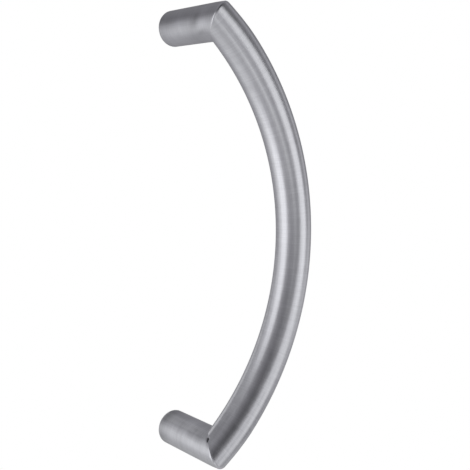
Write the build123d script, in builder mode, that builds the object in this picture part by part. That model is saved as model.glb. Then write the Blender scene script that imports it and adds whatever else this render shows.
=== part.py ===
from build123d import *
import os
from math import atan2, cos, degrees, radians, sin

# A bowed door pull handle, in millimetres.
# A round steel tube is bent to an arc that lies parallel to the door. Each of its ends meets a short
# straight post of the same tube in a 45 degree mitre, and a tapped insert in the foot of each post takes
# a bolt that comes through the door.
#
# Frame: the face of the door is the plane Y = 0 and the door is on the +Y side. Z runs up the door, along
# the line between the two fixings, and the grip bows out to +X. The origin is on the face of the door,
# midway between the fixings.

# Driving dimensions
tube_diameter = 20.0
tube_wall = 1.5
fixing_centres = 230.0  # from bolt to bolt, up the door
post_length = 46.5  # from the face of the door to the centre line of the grip
bow_rise = 51.0  # from the line between the posts to the centre line at the middle of the grip
foot_chamfer = 0.4  # on the outer edge of each foot
insert_length = 18.0
insert_lead = 0.8  # chamfer on the end of the insert that is pressed in first
thread_drill = 6.8  # hole for an M8 thread
thread_mouth = 0.5  # chamfer where the bolt enters

# Sizes that follow from them
tube_radius = tube_diameter / 2
tube_bore = tube_radius - tube_wall
half_centres = fixing_centres / 2
bow_radius = (half_centres**2 + bow_rise**2) / (2 * bow_rise)
bow_centre = bow_rise - bow_radius
bow_half_angle = degrees(atan2(half_centres, -bow_centre))
spare_length = 1.5 * tube_diameter  # left on each tube for its mitre to cut away
spare_angle = degrees(spare_length / bow_radius)
ends = {"upper": 1, "lower": -1}


def mitre_plane(side):
    """The cut through a corner at half the angle between the two tubes; its normal points to the post."""
    corner = Vector(0, -post_length, side * half_centres)
    off_the_grip = Vector(-sin(radians(bow_half_angle)), 0, side * cos(radians(bow_half_angle)))
    to_the_door = Vector(0, 1, 0)
    return Plane(origin=corner, z_dir=off_the_grip + to_the_door)


def foot_plane(side):
    """The face of the door at one fixing, looking along the post."""
    return Plane(origin=(0, 0, side * half_centres), x_dir=(1, 0, 0), z_dir=(0, -1, 0))


os.makedirs("parts", exist_ok=True)

# Grip: the tube's section turns about the centre of the bow, past both corners, then each end is mitred
bow_axis = Axis((bow_centre, -post_length, 0), (0, -1, 0))
with BuildPart() as grip:
    with BuildSketch(Plane(bow_axis.position).rotated((0, bow_half_angle + spare_angle, 0))):
        with Locations((bow_radius, 0)):
            Circle(tube_radius)
            Circle(tube_bore, mode=Mode.SUBTRACT)
    revolve(axis=bow_axis, revolution_arc=2 * (bow_half_angle + spare_angle))
    for side in ends.values():
        split(bisect_by=mitre_plane(side), keep=Keep.BOTTOM)
grip.part.label = "bowed_grip"
export_step(grip.part, "parts/bowed_grip.step")

for end, side in ends.items():
    # Post: straight tube, square at the door and mitred at the grip
    with BuildPart() as post:
        with BuildSketch(foot_plane(side)):
            Circle(tube_radius)
            Circle(tube_bore, mode=Mode.SUBTRACT)
        extrude(amount=post_length + spare_length)
        split(bisect_by=mitre_plane(side), keep=Keep.TOP)
        foot_rims = post.edges().filter_by(GeomType.CIRCLE)
        chamfer(foot_rims.sort_by(SortBy.RADIUS)[-1], foot_chamfer)
    post.part.label = f"{end}_post"
    export_step(post.part, f"parts/{end}_post.step")

    # Insert: turned plug pressed into the foot, flush with it and drilled right through for the thread
    with BuildPart() as insert:
        with BuildSketch(foot_plane(side)):
            Circle(tube_bore)
            Circle(thread_drill / 2, mode=Mode.SUBTRACT)
        extrude(amount=insert_length)
        rims = insert.edges().filter_by(GeomType.CIRCLE)
        inner_rims = rims.group_by(Axis.Y)[0]
        foot_rims = rims.group_by(Axis.Y)[-1]
        chamfer(inner_rims.sort_by(SortBy.RADIUS)[-1], insert_lead)
        chamfer(foot_rims.sort_by(SortBy.RADIUS)[0], thread_mouth)
    insert.part.label = f"{end}_threaded_insert"
    export_step(insert.part, f"parts/{end}_threaded_insert.step")
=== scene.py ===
"""A bowed door pull handle of satin steel tube, dressed for a product picture.

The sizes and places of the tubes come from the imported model. Metres throughout: the face of the door is the
plane Y = 0, Z runs up the door and the grip bows out to +X.
"""

from math import acos, asin, atan2, ceil, cos, exp, pi, radians, sin, sqrt, tan

import bmesh
import bpy
from mathutils import Matrix, Vector


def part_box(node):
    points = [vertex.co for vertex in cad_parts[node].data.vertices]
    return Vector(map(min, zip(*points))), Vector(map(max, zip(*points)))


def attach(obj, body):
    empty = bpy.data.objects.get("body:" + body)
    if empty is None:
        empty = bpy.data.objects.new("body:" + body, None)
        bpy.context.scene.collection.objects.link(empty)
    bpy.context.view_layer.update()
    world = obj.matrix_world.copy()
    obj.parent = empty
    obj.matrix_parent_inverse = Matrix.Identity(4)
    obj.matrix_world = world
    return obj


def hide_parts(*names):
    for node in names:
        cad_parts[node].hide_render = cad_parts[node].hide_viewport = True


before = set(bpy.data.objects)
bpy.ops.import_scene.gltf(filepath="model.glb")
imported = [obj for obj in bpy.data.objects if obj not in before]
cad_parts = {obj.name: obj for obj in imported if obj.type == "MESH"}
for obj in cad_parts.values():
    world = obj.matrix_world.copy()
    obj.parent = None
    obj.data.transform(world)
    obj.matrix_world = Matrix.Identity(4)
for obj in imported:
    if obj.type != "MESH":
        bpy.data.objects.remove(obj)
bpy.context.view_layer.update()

MM = 0.001
FRONT = Vector((0, -1, 0))
TO_THE_DOOR = Vector((0, 1, 0))

# Sizes of the tube, from the frame
post_low, post_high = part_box("upper_post")
grip_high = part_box("bowed_grip")[1]
insert_low, insert_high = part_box("upper_threaded_insert")
tube_radius = (post_high.x - post_low.x) / 2
tube_bore = (insert_high.x - insert_low.x) / 2
insert_length = insert_high.y - insert_low.y
fixing_height = (post_low.z + post_high.z) / 2
post_length = -post_low.y - tube_radius
bow_rise = grip_high.x - tube_radius
bow_radius = (fixing_height**2 + bow_rise**2) / (2 * bow_rise)
bow_centre = Vector((bow_rise - bow_radius, -post_length, 0))
bow_half_angle = atan2(fixing_height, -bow_centre.x)

# Edges that grinding leaves. Where the two ends differ, 1 is the upper end and -1 the lower.
corner_round = {1: 1.1 * MM, -1: 1.4 * MM}  # on the outside of each mitre, where the belt ran over the edge
corner_fillet = 0.12 * MM  # weld left in the inside of each mitre
foot_round = 0.4 * MM

# What the belt took off each corner, on the outside of the bow
corner_dressing = {1: 0.8 * MM, -1: 1.0 * MM}
grip_dressing_reach = 24 * MM  # from the seam to where the dressing begins
post_dressing_reach = 10 * MM
dressing_power = 1.5  # how fast it deepens towards the seam
corner_dressing_middle = radians(65)  # round the tube from the outer tip of the mitre
corner_dressing_spread = radians(26)  # on the far side of the middle
corner_dressing_front = {1: radians(26), -1: radians(50)}  # on the side of the outer tip

# The tapped plug in each foot. The flats of its thread are shares of the pitch.
thread_crest = 3.4 * MM
thread_root = 4.0 * MM
thread_pitch = 1.25 * MM
thread_root_flat = 1 / 8
thread_crest_flat = 1 / 4
thread_flank = (1 - thread_root_flat - thread_crest_flat) / 2
thread_mouth = 0.5 * MM  # chamfer at each end of the thread
insert_lead = 0.8 * MM  # chamfer at the inner end of the plug
insert_slip = 0.01 * MM  # between the plug and the bore

# The spot on the lower seam that the weld missed
pit_angle = radians(-84)  # round the tube from the outer tip of the mitre
pit_length = 3.4 * MM
pit_width = 1.15 * MM
pit_depth = 0.8 * MM
pit_to_the_post = 0.25 * MM  # from the seam to the middle of the pit
painted_pit_shade_rate = 5  # how fast the painted shade in the pit darkens inside its rim

# Where the grinder dwelt on each post, with painted shade and painted light laid over the steel by the seams,
# at the edges of the light bands and by the feet. Middle: distance from the corner, degrees round from the
# mitre's outer tip.
# Then half lengths along and round, slant, and how much lighter or darker the steel is painted there.
post_grinding_and_painted_shading = {
    1: [
        (10.0 * MM, -37, 3.5 * MM, 4.0 * MM, 0.5, -0.30),
        (26.0 * MM, -30, 4.0 * MM, 4.0 * MM, 0.0, 0.10),
        (3.0 * MM, -50, 4.0 * MM, 2.5 * MM, 0.3, 0.18),
        (6.5 * MM, -79, 3.5 * MM, 1.5 * MM, 0.8, -0.22),
        (4.0 * MM, -14, 6.0 * MM, 3.0 * MM, 0.0, 0.18),
        (38.0 * MM, -31, 9.0 * MM, 2.0 * MM, 0.0, -0.14),
        (14.0 * MM, -98, 9.0 * MM, 5.0 * MM, 0.0, -0.12),
        (28.0 * MM, -63, 7.0 * MM, 3.0 * MM, 0.0, 0.06),
        (45.0 * MM, -60, 4.0 * MM, 30.0 * MM, 0.0, -0.10),
    ],
    -1: [
        (44.0 * MM, -75, 5.0 * MM, 30.0 * MM, 0.0, -0.25),
        (15.5 * MM, -76, 3.5 * MM, 2.0 * MM, 0.5, -0.20),
        (10.5 * MM, -47, 5.0 * MM, 3.0 * MM, 0.0, 0.10),
        (26.0 * MM, -104, 5.0 * MM, 4.0 * MM, 0.0, -0.08),
        (18.0 * MM, -94, 5.0 * MM, 4.0 * MM, 0.3, 0.10),
        (-1.9 * MM, -73, 1.0 * MM, 2.6 * MM, 0.96, -0.35),
        (12.4 * MM, -95, 1.5 * MM, 1.2 * MM, 0.0, -0.12),
        (6.0 * MM, -76, 5.0 * MM, 2.8 * MM, 0.0, -0.22),
        (43.0 * MM, -98, 5.0 * MM, 4.0 * MM, 0.0, -0.18),
        (21.0 * MM, -121, 8.0 * MM, 3.5 * MM, 0.0, 0.16),
        (-2.5 * MM, -46, 2.5 * MM, 2.5 * MM, 0.0, 0.12),
    ],
}

# Marks in the finish: the size of each along the tube, then round it
grit_line = (0.45 * MM, 14 * MM)  # really about 0.1 mm apart, drawn coarser so that they show
drawn_line = (90 * MM, 0.9 * MM)
dull_patch = (7 * MM, 9 * MM)
tool_mark = (0.3 * MM, 60 * MM)  # really about 0.15 mm apart, drawn at twice that
scratch_depth = 0.02 * MM
post_pattern_start = {1: 1.5, -1: 0.5}  # along the pattern, clear of the stretch that the grip uses

# How finely the skins are drawn
around = 240
ring_step = 1.2 * MM
slant_length = 16 * MM  # from the corner to the first ring that is square to the tube
slant_rings = 18
crease_rings = 5
crease_gap = 0.03 * MM  # least distance between the rings of a crease
flush_reach = slant_length / 2  # from the seam to where the tubes are no longer shifted to meet
foot_rings = 4
bore_step = 6 * MM
thread_around = 72
thread_step = 0.1 * MM
sharp_angle = radians(38)  # an edge that turns by more is shaded sharp


class Skin:
    """A closed skin of rings. Each ring has the same number of points; the last ring joins the first."""

    def __init__(self, name):
        self.name = name
        self.rings = []

    def ring(self, spots):
        """Adds a ring of spots: a place, how far along the tube, how much shade is painted in the pit, and
        the grinding and painted shading.
        """
        self.rings.append(spots)

    def build(self, material):
        """Makes the piece, with what its finish and its painted shade go by stored at each point."""
        count = len(self.rings[0])
        mesh = bpy.data.meshes.new(self.name)
        spots = [spot for ring in self.rings for spot in ring]
        faces = []
        corners = []
        for i in range(len(self.rings)):
            here = i * count
            there = (i + 1) % len(self.rings) * count
            for j in range(count):
                k = (j + 1) % count
                faces.append((here + j, here + k, there + k, there + j))
                corners.extend([(i, j, j), (i, k, j + 1), (i + 1, k, j + 1), (i + 1, j, j)])
        mesh.from_pydata([spot[0] for spot in spots], [], faces)
        uv = mesh.uv_layers.new(name="along_the_tube")
        for loop, (i, j, turn) in zip(uv.data, corners):
            loop.uv = (self.rings[i % len(self.rings)][j][1], turn / count)
        self.store(mesh, "along", [spot[1] for spot in spots])
        self.store(mesh, "painted_pit_shade", [spot[2] for spot in spots])
        self.store(mesh, "grinding_and_painted_shading", [spot[3] for spot in spots])
        self.store(mesh, "round_x", [cos(a) for a in angles(count)] * len(self.rings))
        self.store(mesh, "round_y", [sin(a) for a in angles(count)] * len(self.rings))
        fair = bmesh.new()
        fair.from_mesh(mesh)
        bmesh.ops.recalc_face_normals(fair, faces=fair.faces)
        fair.to_mesh(mesh)
        fair.free()
        mesh.shade_smooth()
        mesh.set_sharp_from_angle(angle=sharp_angle)
        mesh.materials.append(material)
        piece = bpy.data.objects.new(self.name, mesh)
        bpy.context.scene.collection.objects.link(piece)
        return piece

    @staticmethod
    def store(mesh, name, values):
        mesh.attributes.new(name, "FLOAT", "POINT").data.foreach_set("value", values)


def angles(count):
    return [2 * pi * j / count for j in range(count)]


def blend(a, b, share):
    return a + (b - a) * share


def smooth(share):
    """Eases from 0 to 1 as a share does, with no kink at either end."""
    share = min(1, max(0, share))
    return share**2 * (3 - 2 * share)


def corner_frame(side):
    """The corner's point, the way the grip runs off its end there, and the way out from the bow."""
    point = Vector((0, -post_length, side * fixing_height))
    off_the_grip = Vector((-sin(bow_half_angle), 0, side * cos(bow_half_angle)))
    outward = Vector((cos(bow_half_angle), 0, side * sin(bow_half_angle)))
    return point, off_the_grip, outward


def crease(side, angle):
    """Steps of the rounded mitre edge at an angle round the tube: distance from the seam, then inset.

    The two tubes turn through a right angle at the outer tip, lie flush at the sides, and turn the other
    way at the inner tip, where weld fills the corner.
    """
    turn = acos(min(1, sin(angle) ** 2))
    outside = cos(angle) > 0
    edge = corner_round[side] if outside else corner_fillet
    slope = sqrt(1 + sin(angle) ** 2)
    steps = []
    for k in range(crease_rings + 1):
        part = turn / 2 * k / crease_rings
        distance = edge * (tan(turn / 2) - sin(part)) * slope + (crease_rings - k) * crease_gap
        inset = edge * (1 - cos(part)) * (1 if outside else -1)
        steps.append((distance, inset))
    return steps


def dressed(side, angle, distance, reach=grip_dressing_reach):
    """The radius that dressing left at an angle round the tube and a distance from the seam."""
    share = max(0, 1 - distance / reach)
    off_middle = (angle - corner_dressing_middle + pi) % (2 * pi) - pi
    spread = corner_dressing_front[side] if off_middle < 0 else corner_dressing_spread
    depth = corner_dressing[side] * exp(-(off_middle / spread) ** 2)
    return tube_radius - depth * share**dressing_power


def flush(side, angle, distance):
    """How far each tube is shifted at a distance from the seam, so that the bent one meets the straight."""
    gap = (dressed(side, angle, 0) * cos(angle)) ** 2 / (4 * bow_radius)
    return gap * smooth(1 - distance / flush_reach)


pit_corner, pit_tip, pit_outward = corner_frame(-1)
pit_place = pit_corner + tube_radius * (cos(pit_angle) * (pit_tip + FRONT) + sin(pit_angle) * pit_outward)
pit_along = (-sin(pit_angle) * (pit_tip + FRONT) + cos(pit_angle) * pit_outward).normalized()
pit_out = ((cos(pit_angle) * (pit_tip + FRONT) / 2) + sin(pit_angle) * pit_outward).normalized()
pit_across = pit_along.cross(pit_out)
pit_place += pit_to_the_post * (pit_across if pit_across.dot(TO_THE_DOOR) > 0 else -pit_across)


def pitted(place):
    """Sinks a place into the pit, and says how much shade is painted in the pit there, from 0 to 1."""
    off = place - pit_place
    reach = (off.dot(pit_along) / (pit_length / 2)) ** 2 + (off.dot(pit_across) / (pit_width / 2)) ** 2
    if reach >= 1 or off.dot(pit_out) < -pit_depth:
        return place, 0.0
    share = sqrt(1 - reach)
    return place - pit_out * pit_depth * share, min(1, painted_pit_shade_rate * share)


def grinding_and_painted_shading(side, along, angle):
    """How much lighter or darker a post is painted at a place: the grinder's marks, with painted shade and
    painted light.
    """
    total = 0.0
    for middle, turn, length, width, slant, amount in post_grinding_and_painted_shading[side]:
        off_round = tube_radius * ((angle - radians(turn) + pi) % (2 * pi) - pi)
        off_along = along - middle + slant * off_round
        total += amount * exp(-(off_along / length) ** 2 - (off_round / width) ** 2)
    return total


def grip_spot(side, angle, arc, radius, shift=0.0):
    """A spot on the bent tube, at an arc from the middle of the bow to one end."""
    outward = Vector((cos(arc), 0, side * sin(arc)))
    normal = cos(angle) * FRONT + sin(angle) * outward
    place, pit = pitted(bow_centre + bow_radius * outward + radius * normal + shift * outward)
    return place, side * arc * bow_radius, pit, 0.0


def grip_seam(angle, radius):
    """The arc at which the mitre cuts the line that runs along the grip at an angle."""
    return bow_half_angle + asin(radius * cos(angle) / (bow_radius + radius * sin(angle)))


def bowed_grip(material):
    """The bent tube: rings square to it along the bow, slanted ones up to each seam, and back in the bore."""
    skin = Skin("satin_bowed_grip")
    square = bow_half_angle - slant_length / bow_radius
    plain_rings = ceil(square * bow_radius / ring_step)

    def outside(side, from_the_middle):
        rings = []
        for i in range(1, plain_rings + slant_rings + crease_rings + 1):
            slanted = i - plain_rings
            creased = slanted - slant_rings
            ring = []
            for a in angles(around):
                steps = crease(side, a)
                lever = bow_radius + tube_radius * sin(a)
                seam = grip_seam(a, dressed(side, a, 0))
                inset = 0
                if slanted <= 0:
                    arc = square * i / plain_rings
                elif creased <= 0:
                    arc = blend(square, seam - steps[0][0] / lever, slanted / slant_rings)
                else:
                    arc = seam - steps[creased][0] / lever
                    inset = steps[creased][1]
                distance = (seam - arc) * lever
                radius = dressed(side, a, distance) - inset
                ring.append(grip_spot(side, a, arc, radius, flush(side, a, distance)))
            rings.append(ring)
        return rings if from_the_middle else rings[::-1]

    def inside(side, from_the_middle):
        count = ceil(square * bow_radius / bore_step)
        rings = [[grip_spot(side, a, grip_seam(a, tube_bore) * i / count, tube_bore) for a in angles(around)]
                 for i in range(1, count + 1)]
        return rings if from_the_middle else rings[::-1]

    for ring in outside(-1, False):
        skin.ring(ring)
    skin.ring([grip_spot(1, a, 0, tube_radius) for a in angles(around)])
    for ring in outside(1, True):
        skin.ring(ring)
    for ring in inside(1, False):
        skin.ring(ring)
    skin.ring([grip_spot(1, a, 0, tube_bore) for a in angles(around)])
    for ring in inside(-1, True):
        skin.ring(ring)
    return skin.build(material)


def post(name, side, material):
    """A straight tube: from its seam along the outside to the foot, and back in the bore."""
    skin = Skin(name)
    corner, off_the_grip, outward = corner_frame(side)

    def spot(angle, along, radius, shift=0.0):
        normal = cos(angle) * off_the_grip + sin(angle) * outward
        place, pit = pitted(corner + along * TO_THE_DOOR + radius * normal - shift * outward)
        return place, post_pattern_start[side] + along, pit, grinding_and_painted_shading(side, along, angle)

    for i in range(crease_rings, -1, -1):
        ring = []
        for a in angles(around):
            distance, inset = crease(side, a)[i]
            along = distance - dressed(side, a, 0) * cos(a)
            radius = dressed(side, a, distance, post_dressing_reach) - inset
            ring.append(spot(a, along, radius, flush(side, a, distance)))
        skin.ring(ring)
    for i in range(1, slant_rings + 1):
        ring = []
        for a in angles(around):
            seam = -dressed(side, a, 0) * cos(a)
            along = blend(seam + crease(side, a)[0][0], slant_length, i / slant_rings)
            distance = along - seam
            radius = dressed(side, a, distance, post_dressing_reach)
            ring.append(spot(a, along, radius, flush(side, a, distance)))
        skin.ring(ring)
    plain = post_length - foot_round - slant_length
    plain_rings = ceil(plain / ring_step)
    for i in range(1, plain_rings + 1):
        along = slant_length + plain * i / plain_rings
        skin.ring([spot(a, along, tube_radius) for a in angles(around)])
    for i in range(1, foot_rings + 1):
        turn = i / foot_rings * pi / 2
        along = post_length - foot_round * (1 - sin(turn))
        radius = tube_radius - foot_round * (1 - cos(turn))
        skin.ring([spot(a, along, radius) for a in angles(around)])
    count = ceil(post_length / bore_step)
    for i in range(count + 1):
        skin.ring([spot(a, blend(post_length, -tube_bore * cos(a), i / count), tube_bore)
                   for a in angles(around)])
    return skin.build(material)


def threaded_insert(name, side, material):
    """A turned plug: from its lead chamfer along the outside to the foot, and back through the thread."""
    skin = Skin(name)
    body_radius = tube_bore - insert_slip

    def ring(depth, radius_at):
        spots = []
        for a in angles(thread_around):
            r = radius_at(a)
            place = Vector((r * cos(a), -depth, side * fixing_height + r * sin(a)))
            spots.append((place, depth + r, 0.0, 0.0))
        skin.ring(spots)

    def thread(depth):
        """The thread's radius at a depth: flat crests and roots, run out at both mouths."""

        def radius_at(a):
            phase = (depth / thread_pitch - a / (2 * pi)) % 1
            flank = min(1, max(0, (abs(phase - 0.5) - thread_root_flat / 2) / thread_flank))
            edge = min(depth, insert_length - depth)
            mouth = thread_crest + max(0, thread_mouth - edge)
            return max(mouth, blend(thread_root, thread_crest, flank))

        return radius_at

    ring(insert_length, lambda a: body_radius - insert_lead)
    ring(insert_length - insert_lead, lambda a: body_radius)
    ring(insert_length / 2, lambda a: body_radius)
    ring(0, lambda a: body_radius)
    ring(0, lambda a: blend(body_radius, thread_root + thread_mouth, 0.5))
    steps = ceil(insert_length / thread_step)
    for i in range(steps + 1):
        ring(insert_length * i / steps, thread(insert_length * i / steps))
    return skin.build(material)


def linear(code):
    """An sRGB hex colour as linear red, green, blue and alpha."""
    shares = [int(code[i:i + 2], 16) / 255 for i in (1, 3, 5)]
    return (*[c / 12.92 if c <= 0.04045 else ((c + 0.055) / 1.055) ** 2.4 for c in shares], 1)


def add(tree, kind, values=None, **settings):
    """Adds a node. Its settings are given by name, its values by socket: a number, a colour or a link."""
    node = tree.nodes.new(kind)
    for name, setting in settings.items():
        setattr(node, name, setting)
    for socket, value in (values or {}).items():
        if isinstance(value, bpy.types.NodeSocket):
            tree.links.new(value, node.inputs[socket])
        else:
            node.inputs[socket].default_value = value
    return node


def new_material(name):
    material = bpy.data.materials.new(name)
    material.use_nodes = True
    material.node_tree.nodes.clear()
    return material, material.node_tree


def stretched(tree, along_size, round_size):
    """A place on the tube measured in pattern sizes: along the tube, then round it."""
    parts = [add(tree, "ShaderNodeAttribute", attribute_name=name).outputs["Fac"]
             for name in ("along", "round_x", "round_y")]
    place = add(tree, "ShaderNodeCombineXYZ", {"X": parts[0], "Y": parts[1], "Z": parts[2]})
    lever = tube_radius / round_size
    scale = {0: place.outputs["Vector"], 1: (1 / along_size, lever, lever)}
    return add(tree, "ShaderNodeVectorMath", scale, operation="MULTIPLY").outputs["Vector"]


def satin_stainless_belt_ground():
    """Stainless steel tube, belt-ground round its girth: soft bands of light along it, under a fine hatch."""
    material, tree = new_material("satin_stainless_belt_ground")
    # The belt's grit left lines round the tube
    hatch = add(tree, "ShaderNodeTexNoise", {"Vector": stretched(tree, *grit_line), "Scale": 1,
                                             "Detail": 3, "Roughness": 0.6})
    # Drawing through the die left faint lines the length of the tube
    drawn = add(tree, "ShaderNodeTexNoise", {"Vector": stretched(tree, *drawn_line), "Scale": 1,
                                             "Detail": 2, "Roughness": 0.5})
    # Where the belt dwelt, patches a few millimetres long are duller
    patches = add(tree, "ShaderNodeTexNoise", {"Vector": stretched(tree, *dull_patch), "Scale": 1,
                                               "Detail": 5, "Roughness": 0.68})
    # Painted shade in the weld pit: how far the steel's colour goes to dark grey there
    pit = add(tree, "ShaderNodeAttribute", attribute_name="painted_pit_shade").outputs["Fac"]
    # The grinder's marks on the posts, with painted shade and painted light, scale the steel's colour
    mark = add(tree, "ShaderNodeAttribute", attribute_name="grinding_and_painted_shading").outputs["Fac"]
    grey = add(tree, "ShaderNodeMix", {"Factor": patches.outputs["Fac"], "A": linear("#BDBEC2"),
                                       "B": linear("#D4D5D9")}, data_type="RGBA")
    hatched = add(tree, "ShaderNodeMapRange", {"Value": hatch.outputs["Fac"], "From Min": 0.3,
                                               "From Max": 0.7, "To Min": 0.915, "To Max": 1.06})
    lined = add(tree, "ShaderNodeMapRange", {"Value": drawn.outputs["Fac"], "From Min": 0.3,
                                             "From Max": 0.7, "To Min": 0.96, "To Max": 1.04})
    both = add(tree, "ShaderNodeMath", {0: hatched.outputs["Result"], 1: lined.outputs["Result"]},
               operation="MULTIPLY")
    grinding_and_shading_scale = add(tree, "ShaderNodeMath", {0: mark, 1: both.outputs["Value"], 2: both.outputs["Value"]},
                 operation="MULTIPLY_ADD")
    steel_colour = add(tree, "ShaderNodeVectorMath", {0: grey.outputs["Result"],
                                                      "Scale": grinding_and_shading_scale.outputs["Value"]}, operation="SCALE")
    # Painted shade in the weld pit, mixed over the steel's colour
    colour = add(tree, "ShaderNodeMix", {"Factor": pit, "A": steel_colour.outputs["Vector"],
                                         "B": linear("#2A2A2D")}, data_type="RGBA")
    roughness = add(tree, "ShaderNodeMapRange", {"Value": patches.outputs["Fac"], "From Min": 0.3,
                                                 "From Max": 0.7, "To Min": 0.31, "To Max": 0.37})
    bump = add(tree, "ShaderNodeBump", {"Strength": 0.25, "Distance": scratch_depth,
                                        "Height": hatch.outputs["Fac"]})
    tangent = add(tree, "ShaderNodeTangent", direction_type="UV_MAP", uv_map="along_the_tube")
    # The scratches shade each other at a glancing angle, so the rims stay dull
    rim_grey = (0.7, 0.7, 0.7, 1)
    steel = add(tree, "ShaderNodeBsdfPrincipled", {"Base Color": colour.outputs["Result"], "Metallic": 1,
                                                   "Roughness": roughness.outputs["Result"],
                                                   "Anisotropic": 0.35, "Specular Tint": rim_grey,
                                                   "Normal": bump.outputs["Normal"],
                                                   "Tangent": tangent.outputs["Tangent"]})
    add(tree, "ShaderNodeOutputMaterial", {"Surface": steel.outputs["BSDF"]})
    return material


def turned_steel():
    """Free-cutting steel from the lathe: rings of tool marks that throw a bright fan across the face."""
    material, tree = new_material("turned_steel")
    marks = add(tree, "ShaderNodeTexNoise", {"Vector": stretched(tree, *tool_mark), "Scale": 1,
                                             "Detail": 2, "Roughness": 0.5})
    grey = add(tree, "ShaderNodeMix", {"Factor": marks.outputs["Fac"], "A": linear("#9C9CA0"),
                                       "B": linear("#B4B4B8")}, data_type="RGBA")
    roughness = add(tree, "ShaderNodeMapRange", {"Value": marks.outputs["Fac"], "To Min": 0.28,
                                                 "To Max": 0.42})
    bump = add(tree, "ShaderNodeBump", {"Strength": 0.4, "Distance": scratch_depth,
                                        "Height": marks.outputs["Fac"]})
    tangent = add(tree, "ShaderNodeTangent", direction_type="UV_MAP", uv_map="along_the_tube")
    steel = add(tree, "ShaderNodeBsdfPrincipled", {"Base Color": grey.outputs["Result"], "Metallic": 1,
                                                   "Roughness": roughness.outputs["Result"],
                                                   "Anisotropic": 0.6, "Normal": bump.outputs["Normal"],
                                                   "Tangent": tangent.outputs["Tangent"]})
    add(tree, "ShaderNodeOutputMaterial", {"Surface": steel.outputs["BSDF"]})
    return material


satin = satin_stainless_belt_ground()
turned = turned_steel()
pieces = [
    (bowed_grip(satin), "bowed_grip", "satin_steel"),
    (post("satin_upper_post", 1, satin), "upper_post", "satin_steel"),
    (post("satin_lower_post", -1, satin), "lower_post", "satin_steel"),
    (threaded_insert("turned_upper_insert", 1, turned), "upper_threaded_insert", "turned_steel"),
    (threaded_insert("turned_lower_insert", -1, turned), "lower_threaded_insert", "turned_steel"),
]
for piece, node, slot in pieces:
    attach(piece, "root")
    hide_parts(node)

# The camera, fitted to the outline in the photograph
camera_place = Vector((-0.28115, -0.45249, 0.05583))
camera_azimuth = radians(-35.67)
camera_elevation = radians(6.13)
camera_roll = radians(0.5)
camera_lens = 71.14  # millimetres, as the film is
camera_film = 36.0

toward_camera = Vector((sin(camera_azimuth), -cos(camera_azimuth), 0))
camera_right = Vector((cos(camera_azimuth), sin(camera_azimuth), 0))


def make_camera():
    back = toward_camera * cos(camera_elevation) + Vector((0, 0, sin(camera_elevation)))
    up = back.cross(camera_right)
    right = camera_right * cos(camera_roll) + up * sin(camera_roll)
    up = up * cos(camera_roll) - camera_right * sin(camera_roll)
    data = bpy.data.cameras.new("camera")
    data.lens = camera_lens
    data.sensor_width = camera_film
    camera = bpy.data.objects.new("camera", data)
    bpy.context.scene.collection.objects.link(camera)
    camera.matrix_world = Matrix.Translation(camera_place) @ Matrix((right, up, back)).transposed().to_4x4()
    bpy.context.scene.camera = camera


# The studio: a soft box on each side of the camera, a pale floor, and a cloth tent round them all. The cloth
# is pale below the handle and dim above it, and open at the back left, where the white ground shows.
studio_middle = Vector((bow_rise / 2, -post_length, 0))
white = (1, 1, 1, 1)
scattered_light = 0.8  # the level of the room's light, where the white ground is 1
floor_level = -0.3
floor_solid = 0.15  # from the floor's middle to where it starts to fade
floor_reach = 0.40
floor_white = 0.5  # share of plain white over the lit paint, where the floor is seen directly
floor_grain = MM / 0.9  # size of the specks in the paint

# Each soft box: name, azimuth and elevation in degrees, width and height in metres, how bright
softbox_distance = 0.5
soft_boxes = [
    ("left_softbox", -63.9, -4.5, 0.39, 0.620, 1.03),
    ("right_softbox", 63.8, 5.6, 0.382, 0.312, 1.12),
]

# The tent: places on it are azimuths and elevations in degrees
tent_radius = 0.64
tent_columns = 120
tent_rows = 90
tent_top = 89  # as far up, and down, as the cloth reaches
tent_rim = -5.9  # where the cloth goes from pale to dim
tent_rim_softness = 3.9
tent_open_from = 202.8
tent_open_to = 234.2
tent_open_low = 0.5
tent_open_top = 22
cloth_dim = 0.38
cloth_pale = 0.55
camera_hood = 43  # the middle of a dark hood, to the right of the camera
camera_hood_spread = 57.5
camera_hood_top = 60.5
camera_hood_softness = 4

# Brighter and darker spots on the cloth: how bright, then azimuth and spread, elevation and rise in degrees
cloth_spots = [
    (1, 11.8, 6.8, -32, 21.2),  # a white card under the camera
    (0.15, 27, 12, -10, 14),  # spill of that card
    (0.54, -99, 13.2, -10.4, 57.8),  # spill of the left soft box
    (0.55, 118.9, 10, 9.5, 37.7),  # spill of the right soft box
    (0.8, 78, 18.2, -30, 21.7),  # a white card under the right soft box
    (-0.7, 92.1, 27.1, -43.9, 11.7),  # the shadow of that card
    (-0.3, -94.7, 37.3, 35.5, 22.3),  # a dark flag over the left soft box
]


def way(azimuth, elevation):
    """A direction from the handle, in degrees: round from the camera, to its right if positive, and up."""
    flat = toward_camera * cos(radians(azimuth)) + camera_right * sin(radians(azimuth))
    return flat * cos(radians(elevation)) + Vector((0, 0, sin(radians(elevation))))


def softbox(name, azimuth, elevation, width, height, brightness):
    """A soft box that faces the handle. Its power grows with its area, so that its face stays as bright."""
    data = bpy.data.lights.new(name, "AREA")
    data.shape = "RECTANGLE"
    data.size = width
    data.size_y = height
    data.energy = pi * width * height * brightness
    lamp = bpy.data.objects.new(name, data)
    bpy.context.scene.collection.objects.link(lamp)
    lamp.location = studio_middle + way(azimuth, elevation) * softbox_distance
    lamp.rotation_euler = way(azimuth, elevation).to_track_quat("Z", "Y").to_euler()
    lamp.visible_camera = False


def seen_directly(tree):
    """1 for what the camera, a reflection or a view through glass sees, and 0 for scattered light."""
    path = add(tree, "ShaderNodeLightPath").outputs
    mirrored = add(tree, "ShaderNodeMath", {0: path["Is Camera Ray"], 1: path["Is Glossy Ray"]},
                   operation="MAXIMUM")
    return add(tree, "ShaderNodeMath", {0: mirrored.outputs["Value"], 1: path["Is Transmission Ray"]},
               operation="MAXIMUM").outputs["Value"]


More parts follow.
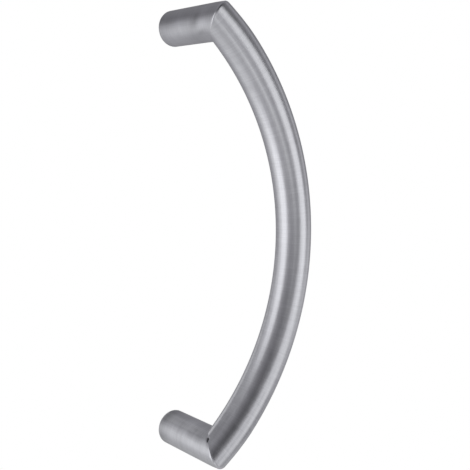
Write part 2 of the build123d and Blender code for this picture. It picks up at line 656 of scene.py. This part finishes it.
def white_room():
    """A white ground that the camera and the steel both see, over a plain level of scattered light."""
    world = bpy.data.worlds.new("white_room")
    world.use_nodes = True
    tree = world.node_tree
    tree.nodes.clear()
    level = add(tree, "ShaderNodeMapRange", {"Value": seen_directly(tree), "To Min": scattered_light,
                                             "To Max": 1})
    light = add(tree, "ShaderNodeBackground", {"Color": white, "Strength": level.outputs["Result"]})
    add(tree, "ShaderNodeOutputWorld", {"Surface": light.outputs["Background"]})
    bpy.context.scene.world = world


def past(distance, softness):
    """Rises softly from 0 to 1 where a distance goes from below zero to above it."""
    return 1 / (1 + exp(-distance / softness))


def cloth_light(azimuth, elevation):
    """How bright the tent's cloth is in a direction. It is darkest where the hood comes in."""

    def turn(middle):
        return (azimuth - middle + 180) % 360 - 180

    hood = exp(-(turn(camera_hood) / camera_hood_spread) ** 2)
    hood *= past(camera_hood_top - elevation, camera_hood_softness)
    light = blend(cloth_pale, cloth_dim * (1 - hood), past(elevation - tent_rim, tent_rim_softness))
    for brightness, middle, spread, level, rise in cloth_spots:
        light += brightness * exp(-(turn(middle) / spread) ** 2 - ((elevation - level) / rise) ** 2)
    return max(0, light)


def tent_cloth():
    """Tent cloth that glows as its own attribute says, cooler where it is dim: what the steel mirrors."""
    material, tree = new_material("tent_cloth")
    light = add(tree, "ShaderNodeAttribute", attribute_name="cloth_light").outputs["Fac"]
    cloth = add(tree, "ShaderNodeMix", {"Factor": light, "A": linear("#F9F6FF"), "B": linear("#FFFFFF")},
                data_type="RGBA")
    glow = add(tree, "ShaderNodeEmission", {"Color": cloth.outputs["Result"], "Strength": light})
    add(tree, "ShaderNodeOutputMaterial", {"Surface": glow.outputs["Emission"]})
    return material


def make_tent():
    places = []
    lights = []
    faces = []
    for i in range(tent_rows + 1):
        elevation = blend(-tent_top, tent_top, i / tent_rows)
        for j in range(tent_columns):
            azimuth = 360 * j / tent_columns
            places.append(studio_middle + tent_radius * way(azimuth, elevation))
            lights.append(cloth_light(azimuth, elevation))
    for i in range(tent_rows):
        here = i * tent_columns
        there = here + tent_columns
        for j in range(tent_columns):
            azimuth = 360 * (j + 0.5) / tent_columns
            elevation = blend(-tent_top, tent_top, (i + 0.5) / tent_rows)
            in_the_gap = tent_open_from < azimuth < tent_open_to
            if not (in_the_gap and tent_open_low < elevation < tent_open_top):
                k = (j + 1) % tent_columns
                faces.append((here + j, here + k, there + k, there + j))
    mesh = bpy.data.meshes.new("tent")
    mesh.from_pydata(places, [], faces)
    Skin.store(mesh, "cloth_light", lights)
    mesh.materials.append(tent_cloth())
    tent = bpy.data.objects.new("tent", mesh)
    bpy.context.scene.collection.objects.link(tent)
    tent.visible_camera = False


def pale_floor():
    """A white-painted floor that takes the shadow and fades into the white ground further off."""
    material, tree = new_material("white_painted_floor")
    place = add(tree, "ShaderNodeNewGeometry").outputs["Position"]
    grain = add(tree, "ShaderNodeTexNoise", {"Vector": place, "Scale": 1 / floor_grain, "Detail": 2})
    paint = add(tree, "ShaderNodeMix", {"Factor": grain.outputs["Fac"], "A": linear("#EDEDED"),
                                        "B": linear("#F3F3F3")}, data_type="RGBA")
    matt = add(tree, "ShaderNodeBsdfDiffuse", {"Color": paint.outputs["Result"]})
    ground = add(tree, "ShaderNodeEmission", {"Color": white, "Strength": 1})
    share = add(tree, "ShaderNodeMapRange", {"Value": seen_directly(tree), "To Max": floor_white})
    lit = add(tree, "ShaderNodeMixShader", {0: share.outputs["Result"], 1: matt.outputs["BSDF"],
                                            2: ground.outputs["Emission"]})
    distance = add(tree, "ShaderNodeVectorMath", {0: place, 1: (0, 0, floor_level)}, operation="DISTANCE")
    fade = add(tree, "ShaderNodeMapRange", {"Value": distance.outputs["Value"], "From Min": floor_solid,
                                            "From Max": floor_reach}, interpolation_type="SMOOTHSTEP")
    clear = add(tree, "ShaderNodeBsdfTransparent")
    faded = add(tree, "ShaderNodeMixShader", {0: fade.outputs["Result"], 1: lit.outputs["Shader"],
                                              2: clear.outputs["BSDF"]})
    add(tree, "ShaderNodeOutputMaterial", {"Surface": faded.outputs["Shader"]})
    return material


def make_floor():
    half = floor_reach
    corners = [(-half, -half, 0), (half, -half, 0), (half, half, 0), (-half, half, 0)]
    mesh = bpy.data.meshes.new("floor")
    mesh.from_pydata(corners, [], [(0, 1, 2, 3)])
    mesh.materials.append(pale_floor())
    floor = bpy.data.objects.new("floor", mesh)
    floor.location.z = floor_level
    bpy.context.scene.collection.objects.link(floor)


make_camera()
white_room()
make_floor()
make_tent()
for box in soft_boxes:
    softbox(*box)
bpy.context.scene.view_settings.view_transform = "Standard"
